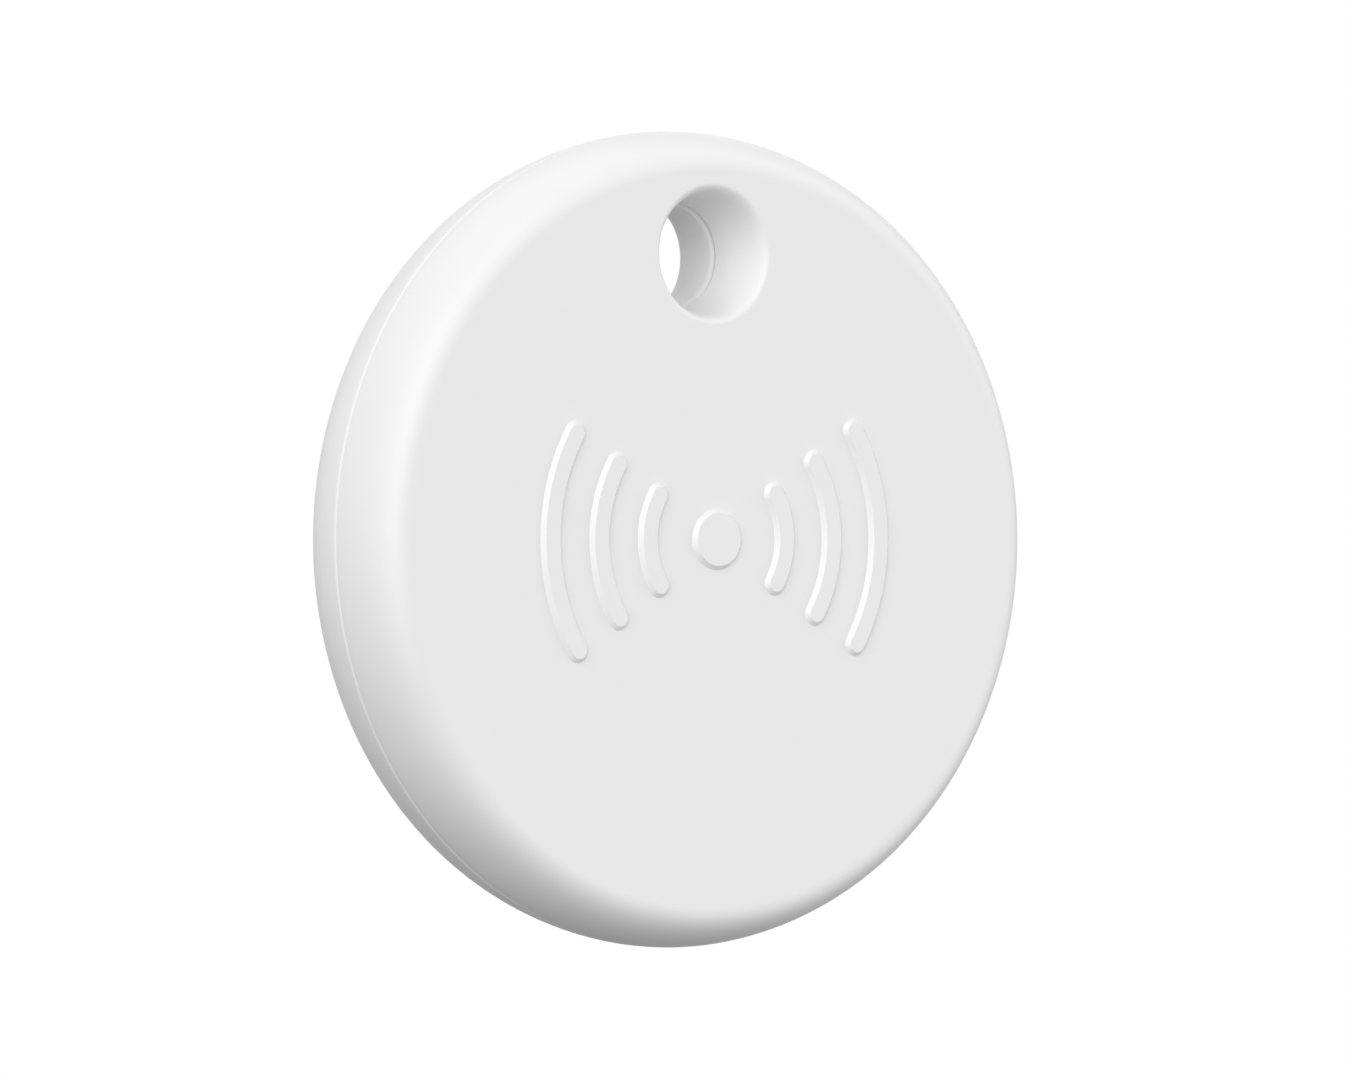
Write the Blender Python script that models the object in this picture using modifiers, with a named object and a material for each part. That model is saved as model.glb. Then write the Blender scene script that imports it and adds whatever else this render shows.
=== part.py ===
"""Round Bluetooth tracker tag: two snap-together shells with a keyring hole, and what they hold.

Everything is modelled lying down in millimetres: X to the right, Y up towards the keyring hole,
Z towards the front face, with Z = 0 halfway between the flat faces. The empty "tag_axis" then stands
the tag up, so that the finished object has its front facing -Y and its keyring hole towards +Z.
"""
import math

import bmesh
import bpy
from mathutils import Matrix, Vector

MM = 0.001
WELD = 0.00001

# Outer form
DIAMETER = 38.8
THICKNESS = 7.4
RELIEF = 0.2                              # height of the raised symbol on the front
RADIUS = DIAMETER / 2
FACE = (THICKNESS - RELIEF) / 2           # height of each flat face from the middle
PARTING = 0.2                             # height of the plane where the two halves meet
CROWN_ONSET = 0.885 * RADIUS              # radius where the flat face starts to roll over
CROWN_FLAT_PULL = 0.72                    # fullness of the roll-over, next to the face
CROWN_RIM_PULL = 0.26                     # fullness of the roll-over, next to the rim
SEAM_HALF_GAP = 0.05
SEAM_CHAMFER = 0.1

# Walls
FACE_WALL = 0.8
RIM_WALL = 1.05
CEILING = FACE - FACE_WALL
TONGUE_OUTER = RADIUS - RIM_WALL - 0.1
TONGUE_INNER = TONGUE_OUTER - 0.75
TONGUE_TOP = 1.1
SEAL_GROOVE = (0.35, 0.85)                # heights of the groove's two sides
SEAL_GROOVE_DEPTH = 0.35
WALL_CORNER = 1.2                         # rounding inside the front half, between wall and ceiling
COVER_CORNER = 0.6
ROOT = 0.2                                # how far a joined shape reaches into the wall it stands on

# Keyring hole
HOLE_Y = 0.696 * RADIUS
FRONT_BORE = 2.5                          # radius at the parting plane
FRONT_THROAT = 2.8                        # radius where the front's drafted wall meets its rounded edge
FRONT_FLARE = (3.35, 1.1)                 # rounded edge at the front face: radius and depth
BACK_BORE = 2.38
BACK_FLARE = (3.55, 3.2)                  # the back half flares nearly all the way
BACK_LIP = 0.28                           # rounding of the back bore at the parting plane
COLLAR_RADIUS = 3.3
COLLAR_GROOVE = (2.72, 3.08)              # inner and outer radius of the seal's groove
COLLAR_GROOVE_BED = PARTING - 0.5

# Inner stack, all about one axis just below the hole
STACK_Y = -1.8
GAP = 0.05
BATTERY_RADIUS = 10.0
BATTERY_HEIGHT = 3.2
CUSHION_THICKNESS = 0.25
BATTERY_BACK = -CEILING + CUSHION_THICKNESS + 2 * GAP
BATTERY_FRONT = BATTERY_BACK + BATTERY_HEIGHT
BOARD_BACK = BATTERY_FRONT + 0.2
BOARD_THICKNESS = 0.5
BOARD_FRONT = BOARD_BACK + BOARD_THICKNESS
BOARD_RADIUS = 17.2
BOARD_NOTCH = COLLAR_RADIUS + 0.6
BATTERY_RING = (BATTERY_RADIUS + 0.35, BATTERY_RADIUS + 1.0)
BATTERY_RING_TOP = BATTERY_BACK + 0.7
PIEZO_RADIUS = 10.0
CERAMIC_RADIUS = 7.0
PIEZO_SEAT = CEILING - 0.18
PIEZO_SEAT_RING = (PIEZO_RADIUS - 1.4, PIEZO_RADIUS - 0.1)
ADHESIVE_THICKNESS = 0.08
PLATE_THICKNESS = 0.12
PLATE_FRONT = PIEZO_SEAT - ADHESIVE_THICKNESS - 2 * GAP
PLATE_BACK = PLATE_FRONT - PLATE_THICKNESS
CERAMIC_BACK = PLATE_BACK - GAP - PLATE_THICKNESS

# Heat-staked pins that hold the board: polar positions about the tag's centre
STAKE_CIRCLE = 15.3
STAKE_ANGLES = (20, 160, 235, 305)
STAKE_POST = 1.0
STAKE_PIN = 0.45
STAKE_HOLE = 0.6
STAKE_HEAD = (0.85, 0.5, 0.3)             # radius next to the board, radius at its end, and height

# Raised symbol: a dot with waves to its left and right
SYMBOL_DOT = 1.35
SYMBOL_STROKE = 1.0
SYMBOL_WAVES = (4.0, 6.8, 9.6)
SYMBOL_HALF_ANGLE = 32

SHELL_TURN = 1.3                          # keeps the shells' facet corners off those of what joins them
ROUND_STEPS = 64
STACK_STEPS = 48
COLLAR_STEPS = 32
SMALL_STEPS = 20
STAKE_STEPS = 12

MATERIALS = {
    "shell_plastic": ((0.86, 0.86, 0.86), 0.45, 0.0),
    "seal_rubber": ((0.16, 0.17, 0.18), 0.60, 0.0),
    "foam": ((0.07, 0.07, 0.08), 0.95, 0.0),
    "adhesive_film": ((0.55, 0.56, 0.58), 0.50, 0.0),
    "brass": ((0.80, 0.60, 0.28), 0.30, 1.0),
    "piezo_ceramic": ((0.78, 0.79, 0.80), 0.35, 0.6),
    "board_laminate": ((0.03, 0.20, 0.10), 0.40, 0.0),
    "chip_resin": ((0.03, 0.03, 0.035), 0.50, 0.0),
    "antenna_ceramic": ((0.82, 0.84, 0.80), 0.40, 0.0),
    "crystal_can": ((0.75, 0.74, 0.70), 0.28, 1.0),
    "ferrite": ((0.12, 0.12, 0.13), 0.55, 0.0),
    "capacitor_ceramic": ((0.50, 0.36, 0.22), 0.45, 0.0),
    "spring_metal": ((0.86, 0.72, 0.42), 0.25, 1.0),
    "switch_resin": ((0.10, 0.10, 0.11), 0.50, 0.0),
    "steel": ((0.72, 0.73, 0.74), 0.25, 1.0),
    "silicone": ((0.70, 0.72, 0.74), 0.55, 0.0),
    "frame_plastic": ((0.05, 0.05, 0.055), 0.50, 0.0),
    "electrode_mix": ((0.09, 0.09, 0.09), 0.90, 0.0),
}


def clear_scene():
    """Remove whatever the file holds."""
    for thing in list(bpy.data.objects):
        bpy.data.objects.remove(thing, do_unlink=True)


def make_collection(name):
    """A collection linked to the scene."""
    group = bpy.data.collections.new(name)
    bpy.context.scene.collection.children.link(group)
    return group


def make_material(name):
    """A Principled material with the colour, roughness and metallic value of MATERIALS."""
    colour, roughness, metallic = MATERIALS[name]
    material = bpy.data.materials.new(name)
    material.use_nodes = True
    shader = material.node_tree.nodes["Principled BSDF"]
    shader.inputs["Base Color"].default_value = (*colour, 1.0)
    shader.inputs["Roughness"].default_value = roughness
    shader.inputs["Metallic"].default_value = metallic
    material.diffuse_color = (*colour, 1.0)
    return material


clear_scene()
TAG = make_collection("tracker_tag")
CUTTERS = make_collection("cutters")
PAINT = {name: make_material(name) for name in MATERIALS}
TAG_AXIS = bpy.data.objects.new("tag_axis", None)
TAG_AXIS.rotation_euler = (math.radians(90), 0, 0)
TAG_AXIS.empty_display_size = 5 * MM
TAG.objects.link(TAG_AXIS)


def place(name, data, paint, at, turn=0.0):
    """Make an object at a point in millimetres, turned about Z by degrees. No paint makes it a guide."""
    thing = bpy.data.objects.new(name, data)
    thing.parent = TAG_AXIS
    thing.location = Vector(at) * MM
    thing.rotation_euler = (0, 0, math.radians(turn))
    if paint:
        data.materials.append(PAINT[paint])
        TAG.objects.link(thing)
    else:
        thing.hide_render = True
        thing.display_type = "WIRE"
        CUTTERS.objects.link(thing)
    return thing


def turned(name, profile, paint=None, at=(0, 0), steps=ROUND_STEPS, turn=0.0):
    """Turn (radius, height) points about an upright axis. They run down the outer side.

    The profile is open where both of its ends are on the axis, and a ring otherwise.
    """
    mesh = bpy.data.meshes.new(name)
    count = len(profile)
    edges = [(i, i + 1) for i in range(count - 1)]
    if profile[0][0] > 0 or profile[-1][0] > 0:
        edges.append((count - 1, 0))
    mesh.from_pydata([(r * MM, 0, z * MM) for r, z in profile], edges, [])
    thing = place(name, mesh, paint, (*at, 0), turn)
    screw = thing.modifiers.new("turn", "SCREW")
    screw.steps = steps
    screw.render_steps = steps
    screw.use_merge_vertices = True
    screw.merge_threshold = WELD
    screw.use_smooth_shade = True
    return thing


def disc(name, radius, low, high, paint=None, at=(0, 0), edge=0.0, steps=ROUND_STEPS):
    """A flat round disc between two heights, with its edges chamfered if asked."""
    profile = [(0, high), (radius - edge, high), (radius, high - edge),
               (radius, low + edge), (radius - edge, low), (0, low)]
    if not edge:
        profile = [(0, high), (radius, high), (radius, low), (0, low)]
    return turned(name, profile, paint, at, steps)


def ring(name, inner, outer, low, high, paint=None, at=(0, 0), steps=ROUND_STEPS):
    """A flat ring of rectangular section between two heights."""
    return turned(name, [(inner, high), (outer, high), (outer, low), (inner, low)], paint, at, steps)


def block(name, size, centre, paint=None, turn=0.0, bevel=0.0):
    """A box of a size in millimetres about a centre, with its edges bevelled if asked."""
    mesh = bpy.data.meshes.new(name)
    solid = bmesh.new()
    bmesh.ops.create_cube(solid, size=MM, matrix=Matrix.Diagonal((*size, 1)))
    solid.to_mesh(mesh)
    solid.free()
    thing = place(name, mesh, paint, centre, turn)
    if bevel:
        rounding = thing.modifiers.new("edges", "BEVEL")
        rounding.width = bevel * MM
        rounding.segments = 1
        rounding.limit_method = "ANGLE"
    return thing


def leaf(name, path, width, thickness, paint, at, turn=0.0):
    """A bent metal strip: a path of (x, z) points swept sideways and made thick."""
    mesh = bpy.data.meshes.new(name)
    half = width / 2
    points = [(x * MM, side * half * MM, z * MM) for x, z in path for side in (-1, 1)]
    faces = [(2 * i, 2 * i + 1, 2 * i + 3, 2 * i + 2) for i in range(len(path) - 1)]
    mesh.from_pydata(points, [], faces)
    thing = place(name, mesh, paint, (*at, 0), turn)
    sheet = thing.modifiers.new("thickness", "SOLIDIFY")
    sheet.thickness = thickness * MM
    sheet.offset = 0
    sheet.use_even_offset = True
    return thing


def combine(thing, other, operation):
    """Join another closed shape to an object, or cut it away."""
    step = thing.modifiers.new(other.name, "BOOLEAN")
    step.operation = operation
    step.solver = "EXACT"
    step.object = other


def arc(centre, radius, start, stop, count):
    """Points on an arc, in degrees."""
    angles = [math.radians(start + (stop - start) * i / count) for i in range(count + 1)]
    return [(centre[0] + radius * math.cos(a), centre[1] + radius * math.sin(a)) for a in angles]


def bezier(p0, p1, p2, p3, count):
    """Points on a cubic curve, both ends included."""
    points = []
    for i in range(count + 1):
        t = i / count
        weights = ((1 - t) ** 3, 3 * t * (1 - t) ** 2, 3 * t * t * (1 - t), t ** 3)
        points.append(tuple(sum(w * p[k] for w, p in zip(weights, (p0, p1, p2, p3))) for k in (0, 1)))
    return points


def crown(parting, count=6):
    """The outer roll-over, from the flat face down to a parting height, at positive heights."""
    flat = CROWN_ONSET + CROWN_FLAT_PULL * (RADIUS - CROWN_ONSET)
    low = parting + SEAM_HALF_GAP + SEAM_CHAMFER
    return bezier((CROWN_ONSET, FACE), (flat, FACE), (RADIUS, CROWN_RIM_PULL * FACE), (RADIUS, low), count)


def inner_corner(wall_radius, rounding, count=4):
    """The inside corner, from the ceiling down to the upright inner wall."""
    return arc((wall_radius - rounding, CEILING - rounding), rounding, 90, 0, count)


def mirrored(points):
    """The same points on the back side, in the same order."""
    return [(r, -z) for r, z in points]


def flare(edge, throat, count):
    """A rounded edge, from just above the flat face down to its throat. Its edge is a radius and a depth."""
    radius, depth = edge
    overshoot = 0.02
    points = []
    for i in range(count + 1):
        a = math.radians(90 - 90 * i / count)
        height = FACE - depth + (depth + overshoot) * math.sin(a)
        points.append((radius - (radius - throat) * math.cos(a), height))
    return points


def bore_cutter(name, outline, back=False):
    """A cutter for the keyring hole's half, from an outline at positive heights that starts above the face."""
    clear = 0.5
    points = [(0, FACE + clear), (outline[0][0], FACE + clear), *outline,
              (outline[-1][0], outline[-1][1] - clear), (0, outline[-1][1] - clear)]
    return turned(name, mirrored(reversed(points)) if back else points, None, HOLE, COLLAR_STEPS)


def wave_outline(radius, side):
    """A curved stroke with round ends, beside the symbol's dot."""
    half = SYMBOL_STROKE / 2
    middle = 0 if side > 0 else 180
    low, high = middle - SYMBOL_HALF_ANGLE, middle + SYMBOL_HALF_ANGLE
    steps = max(6, round(radius * 1.2))
    outer = arc((0, 0), radius + half, low, high, steps)
    inner = arc((0, 0), radius - half, high, low, steps)
    top = arc((0, 0), radius, high, high, 1)[0]
    bottom = arc((0, 0), radius, low, low, 1)[0]
    return [*outer, *arc(top, half, high, high + 180, 5)[1:-1],
            *inner, *arc(bottom, half, low + 180, low + 360, 5)[1:-1]]


def raised_stroke(name, outline):
    """A plate of the symbol, rooted inside the front wall."""
    curve = bpy.data.curves.new(name, "CURVE")
    curve.dimensions = "2D"
    curve.fill_mode = "BOTH"
    depth = RELIEF + 0.3
    curve.extrude = depth / 2 * MM
    spline = curve.splines.new("POLY")
    spline.points.add(len(outline) - 1)
    for point, (x, y) in zip(spline.points, outline):
        point.co = (x * MM, y * MM, 0, 1)
    spline.use_cyclic_u = True
    source = bpy.data.objects.new(name + "_outline", curve)
    CUTTERS.objects.link(source)
    graph = bpy.context.evaluated_depsgraph_get()
    mesh = bpy.data.meshes.new_from_object(source.evaluated_get(graph))
    bpy.data.objects.remove(source, do_unlink=True)
    solid = bmesh.new()
    solid.from_mesh(mesh)
    bmesh.ops.remove_doubles(solid, verts=solid.verts, dist=WELD / 10)
    bmesh.ops.recalc_face_normals(solid, faces=solid.faces)
    solid.to_mesh(mesh)
    solid.free()
    return place(name, mesh, None, (0, 0, FACE + RELIEF - depth / 2))


def polar(radius, angle, centre=(0, 0)):
    """A point at a radius and an angle in degrees from a centre."""
    a = math.radians(angle)
    return (centre[0] + radius * math.cos(a), centre[1] + radius * math.sin(a))


STACK = (0, STACK_Y)
HOLE = (0, HOLE_Y)


def front_shell():
    """Front half of the case, with its collar, piezo seat, board posts and raised symbol."""
    wall = RADIUS - RIM_WALL
    rim = PARTING + SEAM_HALF_GAP
    profile = [(0, FACE), *crown(PARTING), (RADIUS - SEAM_CHAMFER, rim), (wall, rim),
               *reversed(inner_corner(wall, WALL_CORNER)), (0, CEILING)]
    shell = turned("front_shell", profile, "shell_plastic", turn=SHELL_TURN)
    root = CEILING + ROOT
    joined = [disc("front_collar", COLLAR_RADIUS, rim, root, at=HOLE, steps=COLLAR_STEPS),
              ring("piezo_seat", *PIEZO_SEAT_RING, PIEZO_SEAT, root, at=STACK, steps=STACK_STEPS)]
    for number, angle in enumerate(STAKE_ANGLES, 1):
        spot = polar(STAKE_CIRCLE, angle)
        rest = BOARD_FRONT + GAP
        head = BOARD_BACK - GAP
        wide, narrow, height = STAKE_HEAD
        post = [(0, root), (STAKE_POST, root), (STAKE_POST, rest), (STAKE_PIN, rest), (STAKE_PIN, head),
                (wide, head), (narrow, head - height), (0, head - height)]
        joined.append(turned(f"board_stake_{number}", post, at=spot, steps=STAKE_STEPS))
    dot = arc((0, 0), SYMBOL_DOT, 0, 360, 24)[:-1]
    joined.append(raised_stroke("symbol_dot", dot))
    for radius in SYMBOL_WAVES:
        for side, word in ((-1, "left"), (1, "right")):
            joined.append(raised_stroke(f"symbol_wave_{word}_{radius:.0f}", wave_outline(radius, side)))
    for piece in joined:
        combine(shell, piece, "UNION")
    bore = [*flare(FRONT_FLARE, FRONT_THROAT, 5), (FRONT_BORE, rim)]
    combine(shell, bore_cutter("front_bore", bore), "DIFFERENCE")


def back_cover():
    """Back half of the case, which pulls off, with its sealing tongue and battery ring."""
    low, high = SEAL_GROOVE
    floor = TONGUE_OUTER - SEAL_GROOVE_DEPTH
    rim = PARTING - SEAM_HALF_GAP
    profile = [(0, -CEILING), *mirrored(inner_corner(TONGUE_INNER, COVER_CORNER)),
               (TONGUE_INNER, TONGUE_TOP), (TONGUE_OUTER - 0.15, TONGUE_TOP),
               (TONGUE_OUTER, TONGUE_TOP - 0.15), (TONGUE_OUTER, high), (floor, high),
               (floor, low), (TONGUE_OUTER, low), (TONGUE_OUTER, rim),
               (RADIUS - SEAM_CHAMFER, rim), *mirrored(reversed(crown(-PARTING))), (0, -FACE)]
    cover = turned("back_cover", profile, "shell_plastic", turn=SHELL_TURN)
    root = -CEILING - ROOT
    bed = COLLAR_GROOVE_BED
    inner, outer = COLLAR_GROOVE
    collar = [(0, rim), (inner, rim), (inner, bed), (outer, bed), (outer, rim), (COLLAR_RADIUS, rim),
              (COLLAR_RADIUS, root), (0, root)]
    combine(cover, turned("back_collar", collar, at=HOLE, steps=COLLAR_STEPS), "UNION")
    combine(cover, ring("battery_ring", *BATTERY_RING, root, BATTERY_RING_TOP, at=STACK, steps=STACK_STEPS),
            "UNION")
    lip = arc((BACK_BORE + BACK_LIP, BACK_LIP - rim), BACK_LIP, 180, 270, 3)
    combine(cover, bore_cutter("back_bore", [*flare(BACK_FLARE, BACK_BORE, 9), *lip], back=True), "DIFFERENCE")


def seals():
    """Rubber ring round the tongue, and a flat one round the keyring hole."""
    middle = sum(SEAL_GROOVE) / 2
    cord = 0.17
    centre = (TONGUE_OUTER - cord + 0.02, middle)
    turned("perimeter_seal", arc(centre, cord, 180, -180, 6)[:-1], "seal_rubber")
    inner, outer = COLLAR_GROOVE
    ring("keyhole_seal", inner + GAP, outer - GAP, COLLAR_GROOVE_BED + GAP, PARTING, "seal_rubber", HOLE,
         COLLAR_STEPS)


def piezo():
    """Sounder glued behind the front face: adhesive ring, brass plate and ceramic disc."""
    ring("piezo_adhesive", *PIEZO_SEAT_RING, PLATE_FRONT + GAP, PIEZO_SEAT - GAP, "adhesive_film", STACK,
         STACK_STEPS)
    disc("piezo_plate", PIEZO_RADIUS, PLATE_BACK, PLATE_FRONT, "brass", STACK, steps=STACK_STEPS)
    disc("piezo_ceramic", CERAMIC_RADIUS, CERAMIC_BACK, PLATE_BACK - GAP, "piezo_ceramic", STACK,
         steps=STACK_STEPS)
    for name, spot, turn, top in (("piezo_contact_plate", polar(8.4, -52, STACK), 128, PLATE_BACK),
                                  ("piezo_contact_ceramic", polar(5.2, 128, STACK), -52, CERAMIC_BACK)):
        foot = BOARD_FRONT + GAP + 0.05
        tip = top - GAP - 0.06
        path = [(-0.3, foot), (0.9, foot), (1.15, foot + 0.1), (0.9, foot + 0.22), (-0.5, tip - 0.05),
                (-0.8, tip), (-1.1, tip - 0.06), (-1.25, tip - 0.18)]
        leaf(name, path, 0.9, 0.1, "spring_metal", spot, turn)


def board():
    """Round circuit board, notched for the keyring hole and drilled for the pins."""
    plate = disc("circuit_board", BOARD_RADIUS, BOARD_BACK, BOARD_FRONT, "board_laminate")
    notch = disc("board_notch", BOARD_NOTCH, BOARD_BACK - 1, BOARD_FRONT + 1, at=HOLE, steps=COLLAR_STEPS)
    combine(plate, notch, "DIFFERENCE")
    for number, angle in enumerate(STAKE_ANGLES, 1):
        hole = disc(f"stake_hole_{number}", STAKE_HOLE, BOARD_BACK - 1, BOARD_FRONT + 1,
                    at=polar(STAKE_CIRCLE, angle), steps=STAKE_STEPS)
        combine(plate, hole, "DIFFERENCE")


def chip(name, size, at, paint, turn=0.0, bevel=0.0):
    """A component soldered to the front of the board."""
    height = size[2]
    centre = (*at, BOARD_FRONT + GAP + height / 2)
    return block(name, size, centre, paint, turn, bevel)


def components():
    """Radio, clocks, antenna and power parts on the front of the board."""
    chip("bluetooth_chip", (4.0, 4.0, 0.75), (-13.2, 0.9), "chip_resin", bevel=0.06)
    chip("chip_antenna", (5.2, 2.0, 1.0), (9.6, 12.2), "antenna_ceramic", turn=-38, bevel=0.05)
    chip("radio_crystal", (2.0, 1.6, 0.5), (-11.2, 5.0), "crystal_can", bevel=0.12)
    chip("sleep_crystal", (1.6, 1.0, 0.45), (-13.4, -3.2), "crystal_can", bevel=0.1)
    chip("boost_inductor", (3.0, 3.0, 1.0), (13.2, -2.4), "ferrite", bevel=0.25)
    chip("driver_transistor", (2.0, 1.3, 0.8), (13.0, 1.2), "chip_resin", bevel=0.08)
    chip("memory_chip", (2.0, 3.0, 0.55), (-11.6, -7.0), "chip_resin", turn=28, bevel=0.06)
    for number, x in enumerate((-2.6, 2.6), 1):
        chip(f"reservoir_capacitor_{number}", (3.2, 1.6, 1.1), (x, -14.4), "capacitor_ceramic", bevel=0.08)
    capacitors = ((-8.9, 10.6, 40), (-10.3, 9.0, 40), (12.6, -5.8, 90), (7.4, 11.0, 52))
    for number, (x, y, turn) in enumerate(capacitors, 1):
        chip(f"chip_capacitor_{number}", (1.0, 0.5, 0.5), (x, y), "capacitor_ceramic", turn)
    resistors = ((-14.6, -5.2, 0), (10.8, 3.6, 90), (11.6, 4.6, 90), (-5.6, -13.6, 0))
    for number, (x, y, turn) in enumerate(resistors, 1):
        chip(f"chip_resistor_{number}", (1.0, 0.5, 0.35), (x, y), "chip_resin", turn)


def button():
    """Low push switch at the middle of the sounder, and the pad that presses it."""
    floor = BOARD_FRONT + GAP
    housing = block("button_housing", (3.4, 2.8, 0.3), (0, STACK_Y, floor + 0.15), "switch_resin")
    combine(housing, disc("button_well", 1.15, floor + 0.05, floor + 1, at=STACK, steps=SMALL_STEPS),
            "DIFFERENCE")
    plate_low = floor + 0.3 + 0.03
    plate = block("button_plate", (3.0, 2.6, 0.06), (0, STACK_Y, plate_low + 0.03), "steel")
    combine(plate, disc("plate_window", 0.85, plate_low - 1, plate_low + 1, at=STACK, steps=SMALL_STEPS),
            "DIFFERENCE")
    flange = floor + 0.26
    top = CERAMIC_BACK - GAP - 0.06 - GAP
    plunger = [(0, top), (0.6, top), (0.7, top - 0.05), (0.7, flange + 0.02), (1.0, flange + 0.02),
               (1.0, flange), (0, flange)]
    turned("button_plunger", plunger, "switch_resin", STACK, SMALL_STEPS)
    disc("press_pad", 1.0, top + GAP, CERAMIC_BACK - GAP, "silicone", STACK, steps=SMALL_STEPS)


def battery_contacts():
    """Side clips for the cell's can and a leaf for its cap, on the back of the board."""
    foot = BOARD_BACK - GAP - 0.07
    reach = BATTERY_RADIUS + 0.16
    clip = [(reach + 2.5, foot), (reach + 1.0, foot), (reach + 0.75, foot - 0.12), (reach + 0.3, foot - 0.6),
            (reach, foot - 1.05), (reach + 0.05, foot - 1.25), (reach + 0.4, foot - 1.6)]
    for word, turn in (("right", 0), ("left", 180)):
        leaf(f"battery_clip_{word}", clip, 3.0, 0.14, "spring_metal", STACK, turn)
    level = (BOARD_BACK + BATTERY_FRONT) / 2
    block("battery_leaf", (12.0, 3.0, 0.09), (0, STACK_Y, level), "spring_metal", turn=90)


def battery_frame():
    """Plastic ring behind the board that the cell sits in."""
    inner, outer = BATTERY_RADIUS + 0.2, BATTERY_RADIUS + 1.0
    low, high = BATTERY_BACK + 0.85, BOARD_BACK - GAP
    frame = ring("battery_frame", inner, outer, low, high, "frame_plastic", STACK, STACK_STEPS)
    for number, angle in enumerate((35, 145, 215, 325), 1):
        lug = disc(f"frame_lug_{number}", 1.0, high - 1.0, high - 0.001, at=polar(outer + 0.3, angle, STACK),
                   steps=STAKE_STEPS)
        combine(frame, lug, "UNION")
    notch = block("clip_notch", (2 * outer + 2, 3.6, 1.9), (0, STACK_Y, high - 0.8))
    combine(frame, notch, "DIFFERENCE")


def battery():
    """Coin cell: can, gasket, cap and the electrode stack between them, and its cushion."""
    back, front = BATTERY_BACK, BATTERY_FRONT
    skin = 0.25
    lip = front - 0.5
    rounding = 0.35
    radius = BATTERY_RADIUS
    can = [(0, back + skin), (radius - skin - 0.05, back + skin), (radius - skin, back + skin + 0.05),
           (radius - skin, lip), (radius - 0.1, lip), (radius, lip - 0.1), (radius, back + rounding),
           (radius - rounding / 3, back + rounding / 3), (radius - rounding, back), (0, back)]
    turned("battery_can", can, "steel", STACK, STACK_STEPS)
    ring("battery_gasket", radius - 1.0, radius - skin - GAP, back + 0.6, lip + 0.12, "seal_rubber", STACK,
         STACK_STEPS)
    cap_radius = radius - 1.0 - GAP
    cap = [(0, front), (cap_radius - 0.3, front), (cap_radius - 0.08, front - 0.08), (cap_radius, front - 0.3),
           (cap_radius, back + 1.0), (cap_radius - skin, back + 1.0), (cap_radius - skin, front - 0.4),
           (cap_radius - 0.4, front - skin), (0, front - skin)]
    turned("battery_cap", cap, "steel", STACK, STACK_STEPS)
    disc("battery_electrodes", cap_radius - skin - 0.1, back + skin + GAP, front - 0.45, "electrode_mix",
         STACK, steps=STACK_STEPS)
    ring("battery_cushion", 3.0, 6.5, -CEILING + GAP, -CEILING + GAP + CUSHION_THICKNESS, "foam", STACK,
         STACK_STEPS)


front_shell()
back_cover()
seals()
piezo()
board()
components()
button()
battery_contacts()
battery_frame()
battery()
bpy.context.view_layer.update()
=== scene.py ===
"""Looks of the round Bluetooth tracker tag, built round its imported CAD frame.

Shapes are worked out lying down in millimetres, as in part.py: X to the right, Y up towards the keyring
hole, Z towards the front face, Z = 0 halfway between the flat faces. stand() puts a point into the frame,
where the front faces -Y and the keyring hole is towards +Z.
"""
from math import atan2, cos, degrees, pi, radians, sin, sqrt

import bmesh
import bpy
import numpy as np
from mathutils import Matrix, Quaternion, Vector
from mathutils.geometry import delaunay_2d_cdt

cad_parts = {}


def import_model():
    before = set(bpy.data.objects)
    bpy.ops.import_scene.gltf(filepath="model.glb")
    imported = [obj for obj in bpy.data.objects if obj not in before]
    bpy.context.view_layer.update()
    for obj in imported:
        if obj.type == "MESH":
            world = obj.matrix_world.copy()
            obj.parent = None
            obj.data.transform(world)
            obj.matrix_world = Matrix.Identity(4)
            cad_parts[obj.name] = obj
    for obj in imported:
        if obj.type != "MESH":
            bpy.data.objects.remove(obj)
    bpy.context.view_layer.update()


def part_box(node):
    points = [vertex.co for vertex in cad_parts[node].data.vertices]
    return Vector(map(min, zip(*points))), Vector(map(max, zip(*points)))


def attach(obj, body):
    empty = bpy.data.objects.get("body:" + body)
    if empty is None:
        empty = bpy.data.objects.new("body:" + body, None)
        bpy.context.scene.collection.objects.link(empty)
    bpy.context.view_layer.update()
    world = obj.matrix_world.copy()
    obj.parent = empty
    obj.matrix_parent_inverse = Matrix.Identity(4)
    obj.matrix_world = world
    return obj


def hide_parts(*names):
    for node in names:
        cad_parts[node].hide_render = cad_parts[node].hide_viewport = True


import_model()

MM = 0.001

# Outer form, in millimetres, as part.py has it but for a slightly fuller crown
RADIUS = 19.4
FACE = 3.6
RELIEF = 0.2
PARTING = 0.2  # height of the plane where the two halves meet
CROWN_ONSET = 0.9 * RADIUS
CROWN_FLAT_PULL = 0.76
CROWN_RIM_PULL = 0.26
SEAM_HALF_GAP = 0.02
LIPS = {1: 0.06, -1: 0.18}  # rounding at the parting line: front half's edge, back half's edge
CEILING = 2.8
WALL_RADIUS = RADIUS - 1.05
WALL_CORNER = 1.2
TONGUE_OUTER = RADIUS - 1.15
TONGUE_INNER = TONGUE_OUTER - 0.75
TONGUE_TOP = 1.1
COVER_CORNER = 0.6
SEAL_GROOVE = (0.35, 0.85)
SEAL_GROOVE_DEPTH = 0.35
GUARD = 0.03  # flat strip between a flat face's mesh and what curves away from it

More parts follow.
